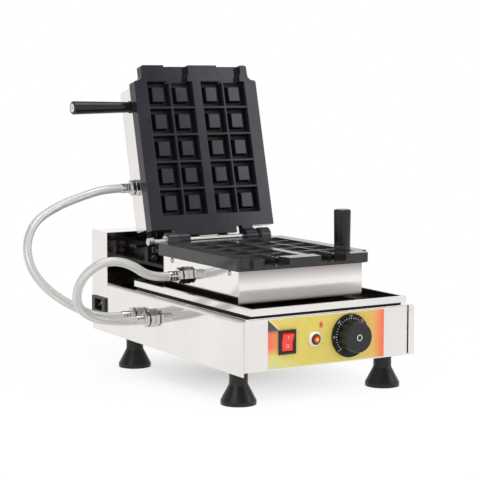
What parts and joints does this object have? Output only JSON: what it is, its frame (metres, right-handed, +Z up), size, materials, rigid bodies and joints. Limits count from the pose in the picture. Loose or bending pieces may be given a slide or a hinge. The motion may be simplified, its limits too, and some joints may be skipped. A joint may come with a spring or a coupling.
{
  "type": "liege waffle maker",
  "caption": "Table-top waffle maker with hinged cast plates on a stainless base, drip tray, front dial, rocker switch, lamp and flexible conduits.",
  "frame": {"origin": "middle of the object's outline on the surface it stands on, conduits left out", "axes": "+X to the operator's right, +Y to the rear column, +Z up"},
  "size_m": [0.4281, 0.468, 0.4372],
  "materials": {
    "polished_steel": "mirror polished stainless sheet",
    "zinc_steel": "zinc plated",
    "bright_metal": "nickel plated",
    "coated_casting": "satin black non-stick coating",
    "black_paint": "satin black",
    "black_plastic": "fine matte",
    "foot_rubber": "matte",
    "label": "printed film",
    "red_plastic": "gloss",
    "lamp_plastic": "clear tinted",
    "white_plastic": "plain",
    "brass": "plain",
    "fibre": "felted ceramic fibre",
    "hose_braid": "silver braid"
  },
  "bodies": {
    "base": {"base_shell": "polished_steel", "right_side_panel": "polished_steel", "bottom_plate": "polished_steel", "front_panel": "polished_steel", "control_label": "label", "column_shell": "polished_steel", "column_back_cover": "polished_steel", "foot_front_left": "foot_rubber", "foot_front_right": "foot_rubber", "foot_rear_left": "foot_rubber", "foot_rear_right": "foot_rubber", "foot_bolts": "zinc_steel", "switch_housing": "black_plastic", "lamp_bezel": "bright_metal", "lamp_body": "black_plastic", "lamp_lens": "lamp_plastic", "thermostat_body": "black_plastic", "power_inlet": "black_plastic", "inlet_blades": "brass", "terminal_block": "black_plastic", "iron_carrier": "black_paint", "carrier_bolts": "zinc_steel", "lid_stops": "foot_rubber", "lower_plate": "coated_casting", "lower_casing": "polished_steel", "lower_casing_screws": "zinc_steel", "lower_heater": "zinc_steel", "lower_insulation": "fibre", "lower_gland": "bright_metal", "hinge_pin": "zinc_steel", "hinge_washer": "zinc_steel", "hinge_nut": "zinc_steel", "side_handle_bracket": "polished_steel", "side_handle_stud": "zinc_steel", "side_handle_grip": "black_plastic", "base_gland_front_nut": "bright_metal", "base_gland_rear_nut": "bright_metal", "lower_hose": "hose_braid", "upper_hose": "hose_braid"},
    "lid": {"upper_plate": "coated_casting", "upper_casing": "polished_steel", "upper_casing_screws": "zinc_steel", "upper_heater": "zinc_steel", "upper_insulation": "fibre", "lid_gland": "bright_metal", "lid_handle_grip": "black_plastic", "lid_handle_stud": "zinc_steel", "lid_handle_collar": "black_plastic", "lid_handle_cap": "white_plastic"},
    "knob": {"thermostat_shaft": "zinc_steel", "knob_skirt": "black_plastic", "knob_grip": "black_plastic"},
    "rocker": {"switch_rocker": "red_plastic"},
    "tray": {"drip_tray": "polished_steel"}
  },
  "joints": [
    {"name": "lid_hinge", "type": "hinge", "parent": "base", "child": "lid", "pos_m": [0.02975, 0.094, 0.184], "axis": [1, 0, 0], "range_deg": [0, 104], "deforming": ["upper_hose"]},
    {"name": "dial_turn", "type": "hinge", "parent": "base", "child": "knob", "pos_m": [0.05775, -0.2146, 0.0815], "axis": [0, 1, 0], "range_deg": [0, 270]},
    {"name": "switch_rock", "type": "hinge", "parent": "base", "child": "rocker", "pos_m": [-0.04, -0.2084, 0.0815], "axis": [-1, 0, 0], "range_deg": [0, 18]},
    {"name": "tray_slide", "type": "slide", "parent": "base", "child": "tray", "axis": [0, -1, 0], "range_m": [0, 0.25]}
  ]
}
